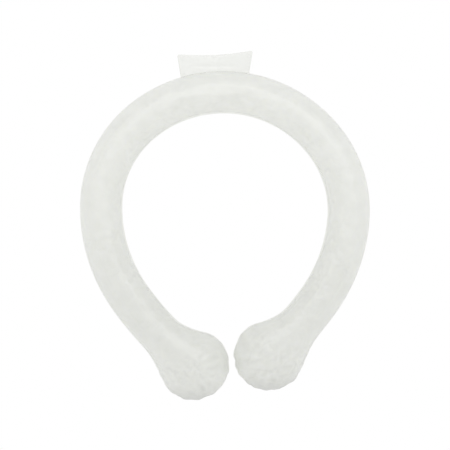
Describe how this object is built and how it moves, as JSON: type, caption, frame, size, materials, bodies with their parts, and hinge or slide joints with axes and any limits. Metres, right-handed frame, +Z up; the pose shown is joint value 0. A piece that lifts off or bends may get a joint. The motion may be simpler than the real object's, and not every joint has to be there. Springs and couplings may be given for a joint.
{
  "type": "cooling neck wrap",
  "caption": "Open ring of milky film filled with cooling gel, worn round the neck, with rounded ends that close at the throat and a flat welded fill tab at the nape.",
  "frame": {"origin": "on the surface that the wrap lies on, under the middle of its bounding box", "axes": "+Z up from the surface, +Y towards the nape and the fill tab, -Y towards the mouth between the round ends"},
  "size_m": [0.1698, 0.2042, 0.0245],
  "materials": {
    "film": "satin milky film, slightly translucent, with faint wrinkles",
    "gel": "cloudy white gel, seen only through the film",
    "tab": "flat welded double film, paler and more translucent than the tube"
  },
  "bodies": {
    "root": {"film_upper": "film", "film_lower": "film", "gel_core": "gel", "fill_tab": "tab"}
  },
  "joints": []
}
